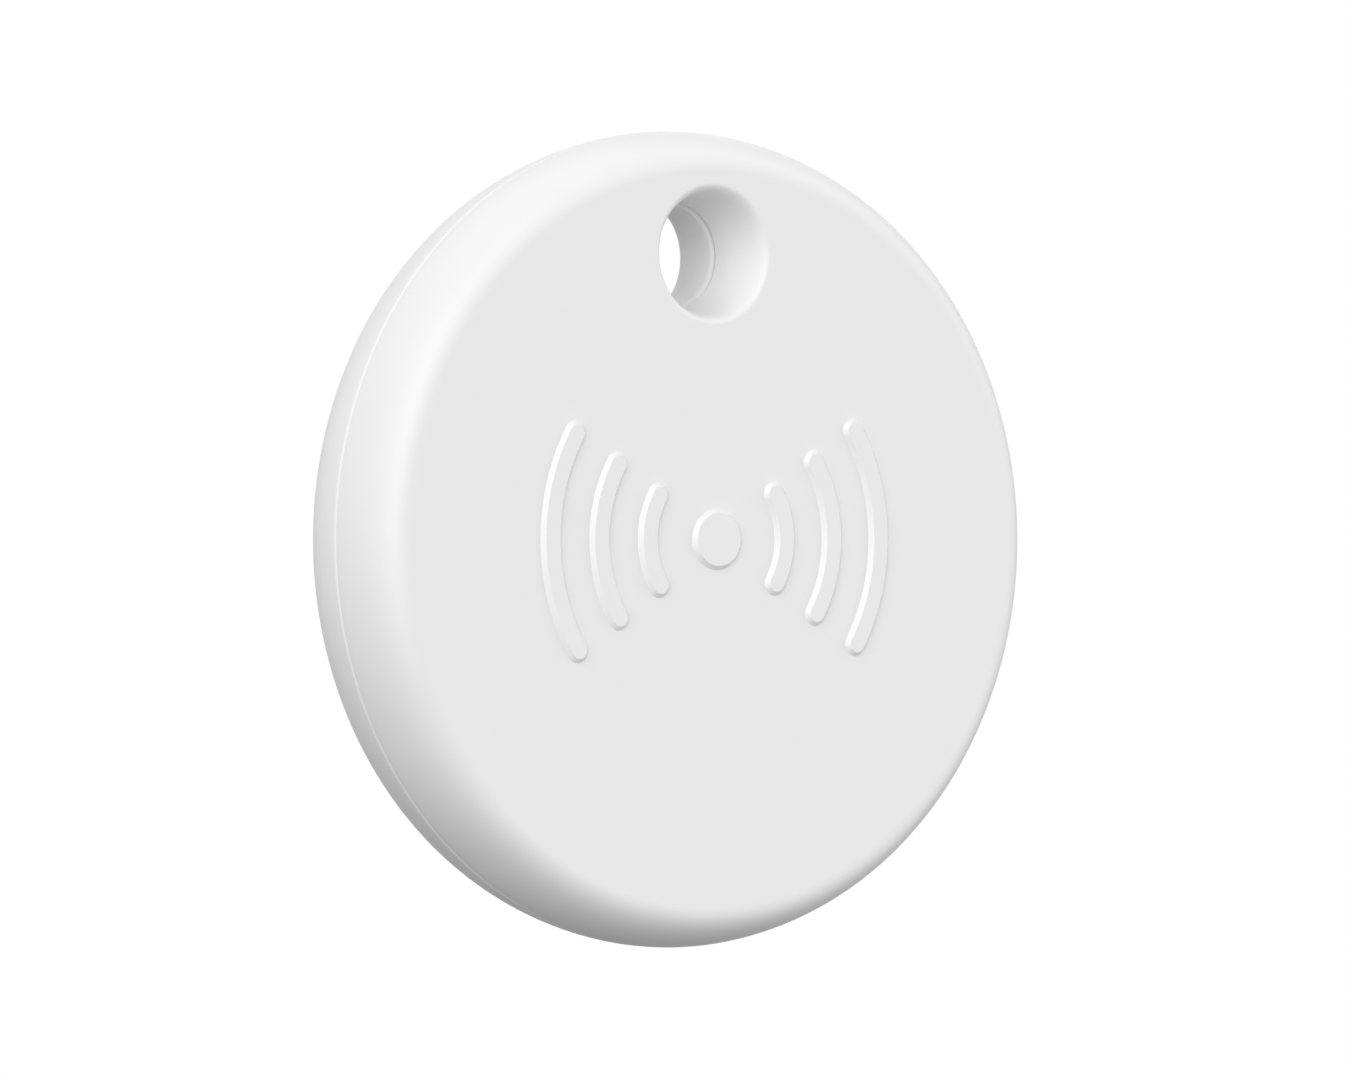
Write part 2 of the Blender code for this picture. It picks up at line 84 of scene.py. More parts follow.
# Keyring hole
HOLE = (0.0, 0.696 * RADIUS)
FRONT_BORE = 2.5
FRONT_THROAT = 2.8
FRONT_FLARE = (3.35, 1.1)
BACK_BORE = 2.38
BACK_FLARE = (3.55, 3.2)
BACK_LIP = 0.28
COLLAR_RADIUS = 3.3
COLLAR_GROOVE = (2.72, 3.08)
COLLAR_GROOVE_BED = PARTING - 0.5
COLLAR_END = PARTING + 0.1  # where the front half's collar stops, just short of the back half's

# Inner stack
STACK = (0.0, -1.8)
GAP = 0.05
BATTERY_RADIUS = 10.0
BATTERY_BACK = -CEILING + 0.25 + 2 * GAP
BATTERY_FRONT = BATTERY_BACK + 3.2
BATTERY_RING = (BATTERY_RADIUS + 0.35, BATTERY_RADIUS + 1.0)
BATTERY_RING_TOP = BATTERY_BACK + 0.7
BOARD_RADIUS = 17.2
BOARD_NOTCH = COLLAR_RADIUS + 0.6
BOARD_BACK = BATTERY_FRONT + 0.2
BOARD_FRONT = BOARD_BACK + 0.5
PIEZO_RADIUS = 10.0
CERAMIC_RADIUS = 7.0
PIEZO_SEAT = CEILING - 0.18
PIEZO_SEAT_RING = (PIEZO_RADIUS - 1.4, PIEZO_RADIUS - 0.1)
PLATE_FRONT = PIEZO_SEAT - 0.08 - 2 * GAP
PLATE_BACK = PLATE_FRONT - 0.12
CERAMIC_BACK = PLATE_BACK - GAP - 0.12
STAKE_CIRCLE = 15.3
STAKE_ANGLES = (20, 160, 235, 305)
STAKE_HOLE = 0.6

# Turns on the board, in degrees
ANTENNA_TURN = -38
MEMORY_TURN = 28

# Parts soldered to the board by their two ends: length, width and turn
TWO_ENDED = {
    **{f"chip_capacitor_{i}": (1.0, 0.5, turn) for i, turn in enumerate((40, 40, 90, 52), 1)},
    **{f"chip_resistor_{i}": (1.0, 0.5, turn) for i, turn in enumerate((0, 90, 90, 0), 1)},
    **{f"reservoir_capacitor_{i}": (3.2, 1.6, 0) for i in (1, 2)},
    "chip_antenna": (5.2, 2.0, ANTENNA_TURN),
}

# Tracks by width, each path by its corners
FRONT_TRACKS = {
    0.3: (((-11.0, 2.0), (-9.6, 3.4), (-9.6, 6.6), (-7.6, 8.6), (5.0, 8.6), (7.1, 10.7)),
          ((7.7, 11.4), (8.2, 12.0), (8.2, 13.0))),
    0.16: (((-12.4, 3.1), (-12.4, 4.2), (-12.0, 4.6)), ((-11.6, 3.1), (-11.2, 3.6), (-11.2, 4.1)),
           ((-13.8, -1.2), (-13.8, -2.6)), ((-13.0, -1.2), (-13.0, -2.6)), ((-9.2, 10.3), (-10.0, 9.4)),
           ((-12.2, -1.2), (-12.2, -4.4), (-11.4, -5.2), (-11.0, -5.6)),
           ((-11.4, -1.2), (-11.4, -3.9), (-10.4, -4.9), (-10.4, -5.6)),
           ((-10.9, -0.6), (-9.6, -0.6), (-8.8, -1.4), (-1.9, -1.4)),
           ((-10.9, 0.2), (-9.2, 0.2), (-8.2, -0.8), (-4.2, -0.8), (-2.8, 0.6), (8.6, 0.6), (9.6, 1.2),
            (11.8, 1.2)),
           ((-10.9, 1.0), (-8.6, 1.0), (-7.6, 2.0), (8.4, 2.0), (10.0, 3.6), (10.8, 4.2)),
           ((1.9, -2.4), (6.4, -2.4), (8.6, -4.6), (11.0, -4.6), (11.6, -4.0))),
    0.5: (((-6.2, -13.6), (-7.6, -11.6), (-9.4, -8.6)),),
    0.7: (((-4.6, -14.4), (-5.2, -14.0)), ((13.2, -4.0), (12.6, -5.2)), ((13.2, -0.8), (13.0, 0.6))),
    0.9: (((-1.0, -14.4), (1.0, -14.4)), ((4.4, -14.4), (6.0, -12.2), (10.0, -8.0), (12.6, -6.6))),
}
SIGNALS_FROM_EDGE = (
    ((-4.0, -14.6), (-5.6, -14.6), (-10.6, -11.2), (-14.8, -5.4), (-15.4, -2.0)),
    ((-2.0, -14.6), (-2.9, -15.5), (-6.0, -15.5), (-11.3, -11.8), (-15.6, -5.6), (-16.1, -2.0)),
    ((2.0, -14.6), (2.9, -15.5), (6.0, -15.5), (11.3, -11.8), (15.6, -5.6), (15.8, 0.6)))
SIGNALS_FROM_HOLE = (
    ((-5.4, 11.4), (-7.6, 11.4), (-10.4, 9.0), (-12.0, 6.4)), ((-5.8, 12.4), (-8.0, 12.4), (-13.0, 8.2)),
    ((5.4, 11.4), (8.4, 11.4), (12.2, 7.6), (14.2, 2.6)), ((5.8, 12.4), (8.8, 12.4), (13.0, 8.4)))
BACK_TRACKS = {
    0.9: (((13.6, -1.8), (13.6, -6.0), (9.6, -11.6), (5.8, -14.2)), ((-13.6, -1.8), (-13.6, 3.0), (-9.6, 9.4))),
    0.2: SIGNALS_FROM_EDGE + SIGNALS_FROM_HOLE,
}
# Bare round pads by radius
FRONT_PADS = {0.22: ((-9.6, 6.6), (-8.8, -1.4), (8.6, 0.6), (8.4, 2.0), (-4.2, -0.8), (9.0, -4.6)),
              0.4: ((10.0, -8.0), (-9.4, -8.6)), 0.5: ((-6.6, 11.8), (-5.4, 10.4))}
BACK_PADS = {0.55: [(x, -14.6) for x in (-4, -2, 0, 2, 4)], 0.25: [path[-1] for path in BACK_TRACKS[0.2]],
             0.3: [path[0] for path in SIGNALS_FROM_HOLE]}

# Raised symbol
SYMBOL_DOT = 1.35
SYMBOL_STROKE = 1.0
SYMBOL_WAVES = (4.0, 6.8, 9.6)
SYMBOL_HALF_ANGLE = 32
SYMBOL_SLOPE = 0.20  # width of a stroke's rounded side, seen from the front

CORNER_SIGNS = ((-1, -1), (1, -1), (1, 1), (-1, 1))  # a rectangle's corners, in order round it

# Mesh fineness
RIM_SEGMENTS = 256
HOLE_SEGMENTS = 96
RING_SEGMENTS = 144
FACE_GRID = 1.3  # spacing of the points inside the flat faces


def stand(x, y, z):
    """A lying-down point in millimetres, in the frame's metres."""
    return (x * MM, -z * MM, y * MM)


def arc(centre, radius, start, stop, count):
    """Points on an arc, in degrees, both ends included."""
    angles = [radians(start + (stop - start) * i / count) for i in range(count + 1)]
    return [(centre[0] + radius * cos(a), centre[1] + radius * sin(a)) for a in angles]


def circle(centre, radius, count):
    """A closed loop of points."""
    return arc(centre, radius, 0, 360, count)[:-1]


def polar(radius, angle, centre=(0, 0)):
    """A point at a radius and an angle in degrees."""
    return arc(centre, radius, angle, angle, 1)[0]


def bezier(p0, p1, p2, p3, count):
    """Points on a cubic curve, both ends included."""
    points = []
    for i in range(count + 1):
        t = i / count
        weights = ((1 - t) ** 3, 3 * t * (1 - t) ** 2, 3 * t * t * (1 - t), t ** 3)
        points.append(tuple(sum(w * p[k] for w, p in zip(weights, (p0, p1, p2, p3))) for k in (0, 1)))
    return points


def rounded(corners, radius, closed=True, steps=4):
    """A polygon or an open path with its corners rounded."""
    points = []
    for i, corner in enumerate(corners):
        if not closed and i in (0, len(corners) - 1):
            points.append(corner)
            continue
        here = Vector(corner)
        ways = [Vector(corners[(i + k) % len(corners)]) - here for k in (-1, 1)]
        start, end = [here + way.normalized() * min(radius, 0.45 * way.length) for way in ways]
        for k in range(steps + 1):
            t = k / steps
            points.append(tuple(start * (1 - t) ** 2 + here * 2 * t * (1 - t) + end * t * t))
    return points


def rectangle(at, size, turn=0.0, shift=(0.0, 0.0)):
    """Corners of a rectangle turned about a point, and shifted along its own sides."""
    c, s = cos(radians(turn)), sin(radians(turn))
    corners = [(shift[0] + i * size[0] / 2, shift[1] + j * size[1] / 2) for i, j in CORNER_SIGNS]
    return [(at[0] + c * x - s * y, at[1] + s * x + c * y) for x, y in corners]


def stroke(path, width):
    """Left and right sides of a strip along a path."""
    points = [Vector(p) for p in path]
    steps = [(b - a).normalized() for a, b in zip(points, points[1:])]
    left, right = [], []
    for here, before, after in zip(points, [steps[0], *steps], [*steps, steps[-1]]):
        along = (before + after).normalized()
        across = Vector((-along.y, along.x)) * width / 2 / along.dot(before)
        left.append(tuple(here + across))
        right.append(tuple(here - across))
    return left, right


def inside(outlines, points):
    """Which points lie inside the first outline and outside the others, as booleans."""
    px, py = points[:, 0], points[:, 1]
    hit = np.zeros(len(points), bool)
    for outline in outlines:
        for (x0, y0), (x1, y1) in zip(outline, np.roll(outline, -1, axis=0)):
            if y0 != y1:
                hit ^= ((y0 > py) != (y1 > py)) & (px < (x1 - x0) * (py - y0) / (y1 - y0) + x0)
    return hit


class Skin:
    """A mesh built from loops of points, bridged by quads and capped by flat triangulated regions.

    lathe, ring and prism return the skin, so that a piece of one solid is written in one go.
    """

    def __init__(self):
        """Start with no points (x, y, height) and no faces."""
        self.points = []
        self.faces = []

    def loop(self, outline, height):
        """Add a loop of (x, y) points at one height, and return their numbers."""
        first = len(self.points)
        self.points += [(x, y, height) for x, y in outline]
        return list(range(first, len(self.points)))

    def bridge(self, one, two):
        """Quads between two loops of the same count."""
        count = len(one)
        for i in range(count):
            j = (i + 1) % count
            self.faces.append((one[i], one[j], two[j], two[i]))

    def turned(self, centre, profile, segments, start=None):
        """Loops along a profile of (radius, height) about a centre, bridged. Returns the first and last."""
        first, last = start, start
        for radius, height in profile:
            ring = self.loop(circle(centre, radius, segments), height)
            if last:
                self.bridge(last, ring)
            first = first or ring
            last = ring
        return first, last

    def lathe(self, profile, centre=STACK, segments=96):
        """A turned solid, closed by flat ends over its profile's first and last loops."""
        for end in self.turned(centre, profile, segments):
            self.fill(end, grid=None)
        return self

    def ring(self, profile, centre=STACK, segments=96):
        """A turned ring over a closed profile."""
        first, last = self.turned(centre, profile, segments)
        self.bridge(last, first)
        return self

    def prism(self, outline, low, high, holes=()):
        """An upright solid between two heights, with holes through it."""
        ends = [[self.loop(points, height) for points in (outline, *holes)] for height in (low, high)]
        for rings in ends:
            self.fill(rings[0], rings[1:], grid=None)
        for one, two in zip(*ends):
            self.bridge(one, two)
        return self

    def taper(self, foot, head, low, high):
        """A solid between two outlines of the same count."""
        ends = [self.loop(foot, low), self.loop(head, high)]
        self.bridge(*ends)
        for end in ends:
            self.faces.append(tuple(end))

    def strip(self, path, width, thickness, at, turn=0.0, side=0.0):
        """A bent metal strip along a path of (x, z) points, turned about an upright line."""
        c, s = cos(radians(turn)), sin(radians(turn))
        last = None
        for sides in zip(*stroke(path, thickness)):
            section = []
            for (x, z), ends in zip(sides, ((-1, 1), (1, -1))):
                for end in ends:
                    y = side + end * width / 2
                    section.append((at[0] + c * x - s * y, at[1] + s * x + c * y, z))
            first = len(self.points)
            self.points += section
            here = list(range(first, first + 4))
            if last:
                self.bridge(last, here)
            else:
                self.faces.append(tuple(here))
            last = here
        self.faces.append(tuple(last))

    def tip(self, ring, height):
        """Close a loop with a fan to its middle."""
        xs, ys = zip(*[self.points[i][:2] for i in ring])
        self.points.append((sum(xs) / len(xs), sum(ys) / len(ys), height))
        top = len(self.points) - 1
        for i, a in enumerate(ring):
            self.faces.append((a, ring[(i + 1) % len(ring)], top))

    def fill(self, outer, holes=(), grid=FACE_GRID):
        """Triangulate the flat region inside one loop and outside others, with points spread inside it."""
        height = self.points[outer[0]][2]
        rings = [outer, *holes]
        outlines = [np.array([self.points[i][:2] for i in ring]) for ring in rings]
        border = np.concatenate(outlines)
        low, high = border.min(0), border.max(0)
        spots = []
        for row, y in enumerate(np.arange(low[1], high[1], grid * sqrt(3) / 2) if grid else ()):
            spots += [(x + (row % 2) * grid / 2, y) for x in np.arange(low[0], high[0], grid)]
        spots = np.array(spots) if spots else np.zeros((0, 2))
        spots = spots[inside(outlines, spots)]
        if len(spots):
            clear = np.array([((border - p) ** 2).sum(1).min() for p in spots]) > (0.45 * grid) ** 2
            spots = spots[clear]
        numbers = [i for ring in rings for i in ring]
        numbers += self.loop([tuple(p) for p in spots], height)
        edges, base = [], 0
        for ring in rings:
            edges += [(base + i, base + (i + 1) % len(ring)) for i in range(len(ring))]
            base += len(ring)
        flat = [Vector(p) for p in [*border, *spots]]
        verts, _, faces, origins, _, _ = delaunay_2d_cdt(flat, edges, [], 1, 1e-7)
        middles = np.array([sum((verts[i] for i in f), Vector((0, 0))) / len(f) for f in faces])
        for face, kept in zip(faces, inside(outlines, middles)):
            if kept:
                self.faces.append(tuple(numbers[origins[i][0]] for i in face))

    def object(self, name, scale=stand):
        """The closed mesh as an object in the frame, facing outwards and shaded smooth."""
        mesh = bpy.data.meshes.new(name)
        mesh.from_pydata([scale(*p) for p in self.points], [], self.faces)
        solid = bmesh.new()
        solid.from_mesh(mesh)
        bmesh.ops.delete(solid, geom=[v for v in solid.verts if not v.link_faces], context="VERTS")
        bmesh.ops.recalc_face_normals(solid, faces=solid.faces)
        solid.to_mesh(mesh)
        solid.free()
        mesh.shade_smooth()
        mesh.set_sharp_from_angle(angle=radians(38))
        thing = bpy.data.objects.new(name, mesh)
        bpy.context.scene.collection.objects.link(thing)
        return thing


# Shells ---------------------

def crown(side, count=26):
    """The outer roll-over from the flat face to the rounded lip at the parting line."""
    flat = CROWN_ONSET + CROWN_FLAT_PULL * (RADIUS - CROWN_ONSET)
    rounding = LIPS[side]
    low = side * PARTING + SEAM_HALF_GAP + rounding
    curve = bezier((CROWN_ONSET, FACE), (flat, FACE), (RADIUS, CROWN_RIM_PULL * FACE), (RADIUS, low), count)
    lip = arc((RADIUS - rounding, low), rounding, 0, -90, 6)[1:]
    return [(r, side * z) for r, z in [(CROWN_ONSET - GUARD, FACE), *curve, *lip]]


def corner(wall, rounding, side, count=6):
    """The inside corner from the upright wall to the ceiling."""
    points = arc((wall - rounding, CEILING - rounding), rounding, 0, 90, count)
    return [(r, side * z) for r, z in [*points, (wall - rounding - GUARD, CEILING)]]


def front_bore():
    """The keyring hole's wall in the front half: rounded edge, drafted wall, small lip."""
    radius, depth = FRONT_FLARE
    low, lip = COLLAR_END, 0.05
    draft = (FRONT_THROAT - FRONT_BORE) / (FACE - depth - low)
    width = radius - FRONT_THROAT
    edge = bezier((radius, FACE), (radius - 0.55 * width, FACE),
                  (FRONT_THROAT + 0.55 * depth * draft, FACE - 0.45 * depth), (FRONT_THROAT, FACE - depth), 14)
    wall = [(FRONT_BORE + draft * (z - low), z) for z in np.linspace(FACE - depth, low + lip, 6)[1:]]
    return [(radius + GUARD, FACE), *edge, *wall, *arc((FRONT_BORE + lip, low + lip), lip, 180, 270, 4)[1:]]


def back_bore():
    """The keyring hole's wall in the back half: it flares nearly all the way, up to a rounded lip."""
    radius, depth = BACK_FLARE
    width = radius - BACK_BORE
    low = -PARTING + SEAM_HALF_GAP
    flare = [(radius - width * x, FACE - depth + depth * y) for x, y in arc((0, 0), 1, 90, 0, 20)]
    lip = arc((BACK_BORE + BACK_LIP, low + BACK_LIP), BACK_LIP, 180, 270, 8)
    return [(r, -z) for r, z in [(radius + GUARD, FACE), *flare, *lip]]


def wave_outline(radius, side, half, steps):
    """A curved stroke with round ends, half its width to each side of its middle line."""
    middle = 0 if side > 0 else 180
    low, high = middle - SYMBOL_HALF_ANGLE, middle + SYMBOL_HALF_ANGLE
    ends = 10
    outer = arc((0, 0), radius + half, low, high, steps)
    inner = arc((0, 0), radius - half, high, low, steps)
    top, bottom = polar(radius, high), polar(radius, low)
    return [*outer, *arc(top, half, high, high + 180, ends)[1:-1],
            *inner, *arc(bottom, half, low + 180, low + 360, ends)[1:-1]]


def relief_steps():
    """(outset, height) along a stroke's rounded side, from the face to its top."""
    half = SYMBOL_SLOPE / 2
    slope = [(half * c, RELIEF * (1 - c) / 2) for c in (cos(pi * i / 8) for i in range(9))]
    return [(half + 0.04, 0.0), *slope, (-half - 0.04, RELIEF)]


def raise_stroke(skin, outline):
    """Add a raised stroke, whose outline takes its half-width, and return its loop on the face."""
    foot, last = None, None
    for outset, height in relief_steps():
        ring = skin.loop(outline(outset), FACE + height)
        if last:
            skin.bridge(last, ring)
        foot = foot or ring
        last = ring
    skin.fill(last, grid=0.5)
    return foot


def front_skin():
    """Front half of the case, inside and out."""
    skin = Skin()
    low = PARTING + SEAM_HALF_GAP
    wall = [(WALL_RADIUS + 0.1, low), (WALL_RADIUS, low + 0.1), (WALL_RADIUS, 0.8)]
    rim = [*crown(1), *wall, *corner(WALL_RADIUS, WALL_CORNER, 1)]
    face_edge, ceiling_edge = skin.turned((0, 0), rim, RIM_SEGMENTS)
    collar = [(COLLAR_RADIUS - 0.08, COLLAR_END), (COLLAR_RADIUS, COLLAR_END + 0.08),
              (COLLAR_RADIUS, CEILING - 0.2), (COLLAR_RADIUS + 0.06, CEILING - 0.06),
              (COLLAR_RADIUS + 0.2, CEILING)]
    hole_edge, collar_foot = skin.turned(HOLE, [*front_bore(), *collar], HOLE_SEGMENTS)
    inner, outer = PIEZO_SEAT_RING
    seat = [(outer, CEILING), (outer, PIEZO_SEAT), (inner, PIEZO_SEAT), (inner, CEILING)]
    seat_outer, seat_inner = skin.turned(STACK, seat, HOLE_SEGMENTS)
    posts = []
    for angle in STAKE_ANGLES:
        head = BOARD_BACK - GAP
        rest = BOARD_FRONT + GAP
        post = [(1.15, CEILING), (1.03, CEILING - 0.04), (1.0, CEILING - 0.15), (1.0, rest + 0.05),
                (0.95, rest), (0.45, rest), (0.45, head), (0.76, head), (0.84, head - 0.04),
                (0.82, head - 0.12), (0.62, head - 0.24), (0.3, head - 0.29)]
        foot, end = skin.turned(polar(STAKE_CIRCLE, angle), post, 28)
        skin.tip(end, head - 0.3)
        posts.append(foot)
    strokes = [raise_stroke(skin, lambda d: circle((0, 0), SYMBOL_DOT + d, 56))]
    for radius in SYMBOL_WAVES:
        for side in (-1, 1):
            steps = round(radius * 7)
            strokes.append(raise_stroke(
                skin, lambda d, r=radius, s=side, n=steps: wave_outline(r, s, SYMBOL_STROKE / 2 + d, n)))
    skin.fill(face_edge, [hole_edge, *strokes])
    skin.fill(ceiling_edge, [collar_foot, seat_outer, *posts])
    skin.fill(seat_inner)
    return skin.object("front_shell_skin")


def back_skin():
    """Back half of the case, inside and out."""
    skin = Skin()
    low, high = SEAL_GROOVE
    bed = TONGUE_OUTER - SEAL_GROOVE_DEPTH
    top = PARTING - SEAM_HALF_GAP
    tongue = [(TONGUE_OUTER + 0.05, top), (TONGUE_OUTER, top + 0.03),
              (TONGUE_OUTER, low - 0.04), (TONGUE_OUTER - 0.04, low), (bed + 0.03, low), (bed, low + 0.03),
              (bed, high - 0.03), (bed + 0.03, high), (TONGUE_OUTER - 0.04, high), (TONGUE_OUTER, high + 0.04),
              (TONGUE_OUTER - 0.02, TONGUE_TOP - 0.15), (TONGUE_OUTER - 0.15, TONGUE_TOP),
              (TONGUE_INNER + 0.1, TONGUE_TOP), (TONGUE_INNER, TONGUE_TOP - 0.1), (TONGUE_INNER, 0),
              (TONGUE_INNER, -1.6)]
    rim = [*crown(-1), *tongue, *corner(TONGUE_INNER, COVER_CORNER, -1)]
    face_edge, floor_edge = skin.turned((0, 0), rim, RIM_SEGMENTS)
    inner, outer = COLLAR_GROOVE
    collar = [(inner, top), (inner, COLLAR_GROOVE_BED), (outer, COLLAR_GROOVE_BED), (outer, top),
              (COLLAR_RADIUS - 0.06, top), (COLLAR_RADIUS, top - 0.06), (COLLAR_RADIUS, -CEILING + 0.2),
              (COLLAR_RADIUS + 0.02, -CEILING + 0.03), (COLLAR_RADIUS + 0.05, -CEILING)]
    hole_edge, collar_foot = skin.turned(HOLE, [*back_bore(), *collar], HOLE_SEGMENTS)
    near, far = BATTERY_RING
    crest = BATTERY_RING_TOP
    ring = [(far + 0.12, -CEILING), (far + 0.02, -CEILING + 0.05), (far, -CEILING + 0.15), (far, crest - 0.1),
            (far - 0.1, crest), (near + 0.15, crest), (near, crest - 0.15), (near, -CEILING + 0.1),
            (near - 0.1, -CEILING)]
    ring_outer, ring_inner = skin.turned(STACK, ring, RING_SEGMENTS)
    skin.fill(face_edge, [hole_edge])
    skin.fill(floor_edge, [collar_foot, ring_outer])
    skin.fill(ring_inner)
    return skin.object("back_cover_skin")


# What the case holds --------

def reach(node):
    """A CAD node's box lying down, in millimetres: its middle and size across, and its two heights."""
    (x0, y0, z0), (x1, y1, z1) = [[c / MM for c in corner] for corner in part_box(node)]
    return ((x0 + x1) / 2, (z0 + z1) / 2), (x1 - x0, z1 - z0), (-y1, -y0)


def soften(thing, width, segments=2):
    """Round an object's edges by a width in millimetres."""
    edges = thing.modifiers.new("rounded_edges", "BEVEL")
    edges.width = width * MM
    edges.segments = segments
    edges.limit_method = "ANGLE"
    edges.angle_limit = radians(40)
    edges.harden_normals = True
    return thing


def carve(thing, other, operation):
    """Join another closed object to one, or cut it away, and remove it."""
    step = thing.modifiers.new("carve", "BOOLEAN")
    step.operation, step.solver, step.object = operation, "EXACT", other
    graph = bpy.context.evaluated_depsgraph_get()
    mesh = bpy.data.meshes.new_from_object(thing.evaluated_get(graph))
    thing.modifiers.remove(step)
    thing.data = mesh
    bpy.data.objects.remove(other, do_unlink=True)


def turned_ring(name, inner, outer, low, high, bevel, centre=STACK, segments=96):
    """A flat ring with rounded edges."""
    skin = Skin().ring([(inner, low), (outer, low), (outer, high), (inner, high)], centre, segments)
    return soften(skin.object(name), bevel)


def turned_disc(name, radius, low, high, bevel):
    """A flat disc with rounded edges."""
    return soften(Skin().lathe([(radius, low), (radius, high)]).object(name), bevel)


def soft_parts():
    """Rubber seals, the foam ring behind the cell and the pad on the push switch."""
    seal = Skin().ring(circle((TONGUE_OUTER - 0.15, sum(SEAL_GROOVE) / 2), 0.165, 12), (0, 0), RIM_SEGMENTS)
    add(seal.object("perimeter_seal_skin"), RUBBER, "perimeter_seal", body="cover")
    inner, outer = COLLAR_GROOVE
    bed = COLLAR_GROOVE_BED + GAP
    seal = turned_ring("keyhole_seal_skin", inner + GAP, outer - GAP, bed, PARTING, 0.08, HOLE)
    add(seal, RUBBER, "keyhole_seal", body="cover")
    low, high = reach("battery_cushion")[2]
    pad = Skin().ring([(6.5, low), (6.5, high - 0.05), (6.2, high - 0.01), (4.75, high), (3.3, high - 0.01),
                       (3.0, high - 0.05), (3.0, low)])
    pad = add(soften(pad.object("battery_cushion_foam"), 0.04), FOAM, "battery_cushion", body="cover")
    low, high = reach("press_pad")[2]
    pad = add(turned_disc("press_pad_skin", 1.0, low, high, 0.025), SILICONE, "press_pad")


def sounder():
    """Adhesive ring, brass plate and silvered ceramic disc, with the springs that feed them."""
    low, high = reach("piezo_adhesive")[2]
    film = turned_ring("piezo_adhesive_film", *PIEZO_SEAT_RING, low, high, 0.01)
    add(film, ADHESIVE, "piezo_adhesive")
    plate = turned_disc("piezo_plate_skin", PIEZO_RADIUS, PLATE_BACK, PLATE_FRONT, 0.03)
    add(plate, BRASS, "piezo_plate")
    silver = 0.015
    ceramic = turned_disc("piezo_ceramic_skin", CERAMIC_RADIUS, CERAMIC_BACK + silver, PLATE_BACK - GAP, 0.02)
    add(ceramic, CERAMIC, "piezo_ceramic")
    electrode = turned_disc("piezo_electrode", CERAMIC_RADIUS - 0.5, CERAMIC_BACK, CERAMIC_BACK + silver, 0.005)
    add(electrode, SILVER)
    for node, spot, turn, top in (("piezo_contact_plate", polar(8.4, -52, STACK), 128, PLATE_BACK),
                                  ("piezo_contact_ceramic", polar(5.2, 128, STACK), -52, CERAMIC_BACK)):
        foot = BOARD_FRONT + 2 * GAP
        tip = top - GAP - 0.06
        path = rounded([(-0.3, foot), (1.15, foot), (1.15, foot + 0.22), (-0.5, tip - 0.05), (-0.85, tip),
                        (-1.25, tip - 0.18)], 0.18, closed=False)
        skin = Skin()
        skin.strip(path, 0.9, 0.1, spot, turn)
        add(soften(skin.object(node + "_spring"), 0.02), GOLD, node)


def board():
    """Circuit board with its tracks, bare pads and white print."""
    height = (BOARD_RADIUS ** 2 + HOLE[1] ** 2 - BOARD_NOTCH ** 2) / (2 * HOLE[1])
    half = sqrt(BOARD_RADIUS ** 2 - height ** 2)
    rim = degrees(atan2(height, half))
    notch = degrees(atan2(height - HOLE[1], half))
    outline = [*arc((0, 0), BOARD_RADIUS, 180 - rim, 360 + rim, 200)[1:-1],
               *arc(HOLE, BOARD_NOTCH, notch, -180 - notch, 72)]
    pin_holes = [circle(polar(STAKE_CIRCLE, angle), STAKE_HOLE, 28) for angle in STAKE_ANGLES]
    plate = Skin().prism(outline, BOARD_BACK, BOARD_FRONT, pin_holes)
    add(soften(plate.object("circuit_board_plate"), 0.03), BOARD, "circuit_board")

    tracks, pads, ink = Skin(), Skin(), Skin()
    for widths, radii, face in ((FRONT_TRACKS, FRONT_PADS, BOARD_FRONT), (BACK_TRACKS, BACK_PADS, BOARD_BACK)):
        low, high = face - 0.02, face + 0.02
        for width, path in [(width, path) for width, paths in widths.items() for path in paths]:
            left, right = stroke(path, width)
            tracks.prism([*left, *reversed(right)], low, high)
            for end in (path[0], path[-1]):
                tracks.prism(circle(end, width * 0.7, 16), low - 0.002, high + 0.002)
        for radius, spots in radii.items():
            for spot in spots:
                pads.prism(circle(spot, radius, 24), low - 0.01, high + 0.01)
    foot_low, foot_high = BOARD_BACK - 0.035, BOARD_BACK + 0.02
    for side in (-1, 1):
        pads.prism(rounded(rectangle((side * 12.1, STACK[1]), (2.2, 3.5)), 0.2), foot_low, foot_high)
    pads.prism(rounded(rectangle(STACK, (3.6, 12.8)), 0.4), foot_low, foot_high)
    add(tracks.object("board_tracks"), TRACKS)
    add(pads.object("board_pads"), GOLD)

    line, low, high = 0.12, BOARD_FRONT, BOARD_FRONT + 0.03
    outlines = {"bluetooth_chip": (4.9, 4.9, 0), "memory_chip": (3.0, 3.6, MEMORY_TURN),
                "boost_inductor": (3.5, 3.5, 0), "radio_crystal": (2.7, 2.2, 0), "sleep_crystal": (2.3, 1.6, 0)}
    for node, (*size, turn) in outlines.items():
        at = reach(node)[0]
        inner = [s - 2 * line for s in size]
        ink.prism(rectangle(at, size, turn), low, high, [rectangle(at, inner, turn)])
        first_pin = rectangle(at, [s + 0.5 for s in size], turn)[0]
        ink.prism(circle(first_pin, 0.14, 16), low, high)
    low, high = BOARD_BACK - 0.03, BOARD_BACK
    for start, stop in ((-82, -8), (8, 40), (140, 172), (188, 262)):
        left, right = stroke(arc(STACK, BATTERY_RADIUS + 2.55, start, stop, 24), 0.14)
        ink.prism([*left, *reversed(right)], low, high)
    for side in (-1, 1):
        ink.prism(plus_sign((side * 14.6, STACK[1] + 3.2), 1.1, 0.22), low, high)
    add(ink.object("board_print"), INK)


